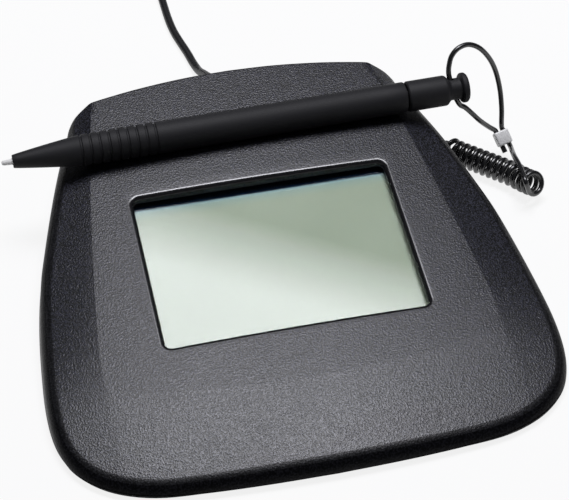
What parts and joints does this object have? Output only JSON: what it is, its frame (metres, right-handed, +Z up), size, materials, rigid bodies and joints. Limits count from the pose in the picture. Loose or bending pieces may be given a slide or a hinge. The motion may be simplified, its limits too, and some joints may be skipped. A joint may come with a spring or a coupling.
{
  "type": "signature pad",
  "caption": "Counter-top signature pad with a recessed glass display, a sloping moulded housing and a pen on a curly tether.",
  "frame": {"origin": "on the table, under the middle of the housing's box, cords left out", "axes": "+X to the right of the person who signs, along the width; +Y away from that person, to the rear edge where the pen lies; +Z up from the table"},
  "size_m": [0.1759, 0.3016, 0.0407],
  "materials": {
    "textured_black": "fine grain",
    "smooth_black": "satin",
    "soft_touch_black": "matte, soft touch",
    "rubber_black": "matte",
    "usb_black": "satin",
    "cord_black": "gloss",
    "tie_black": "satin",
    "nib_white": "satin",
    "glass": "polished",
    "display_green": "reflective liquid crystal cell",
    "white_plastic": "satin",
    "board_green": "solder mask",
    "chip_black": "matte",
    "film_amber": "polyimide film",
    "steel": "zinc plated",
    "aluminium": "satin"
  },
  "bodies": {
    "pad": {"top_housing": "textured_black", "base_housing": "smooth_black", "display_tray": "smooth_black", "foot_rear_left": "rubber_black", "foot_rear_right": "rubber_black", "foot_front_left": "rubber_black", "foot_front_right": "rubber_black", "window_gasket": "rubber_black", "tether_bush": "rubber_black", "usb_cable": "usb_black", "usb_coil": "usb_black", "inner_lead": "usb_black", "strain_relief": "usb_black", "plug_body": "usb_black", "tether_curl": "cord_black", "cable_tie": "tie_black", "touch_glass": "glass", "display_cell": "display_green", "display_diffuser": "white_plastic", "ribbon_socket": "white_plastic", "cable_header": "white_plastic", "plug_tongue": "white_plastic", "main_board": "board_green", "controller_chip": "chip_black", "display_ribbon": "film_amber", "case_screw_rear_left": "steel", "case_screw_rear_right": "steel", "case_screw_front_left": "steel", "case_screw_front_right": "steel", "tray_screw_rear_left": "steel", "tray_screw_rear_right": "steel", "tray_screw_front_left": "steel", "tray_screw_front_right": "steel", "board_screw_rear_left": "steel", "board_screw_rear_right": "steel", "board_screw_front_left": "steel", "board_screw_front_right": "steel", "clock_crystal": "steel", "plug_shell": "steel", "tether_stop": "aluminium"},
    "pen": {"pen_barrel": "soft_touch_black", "pen_nib": "nib_white", "pen_end_cap": "soft_touch_black", "tether_loop": "cord_black", "tether_ferrule": "aluminium", "tether_tail": "cord_black"}
  },
  "joints": [
    {"name": "pen_lift", "type": "slide", "parent": "pad", "child": "pen", "axis": [0, -0.1392, 0.9903], "range_m": [0, 0.06]}
  ]
}
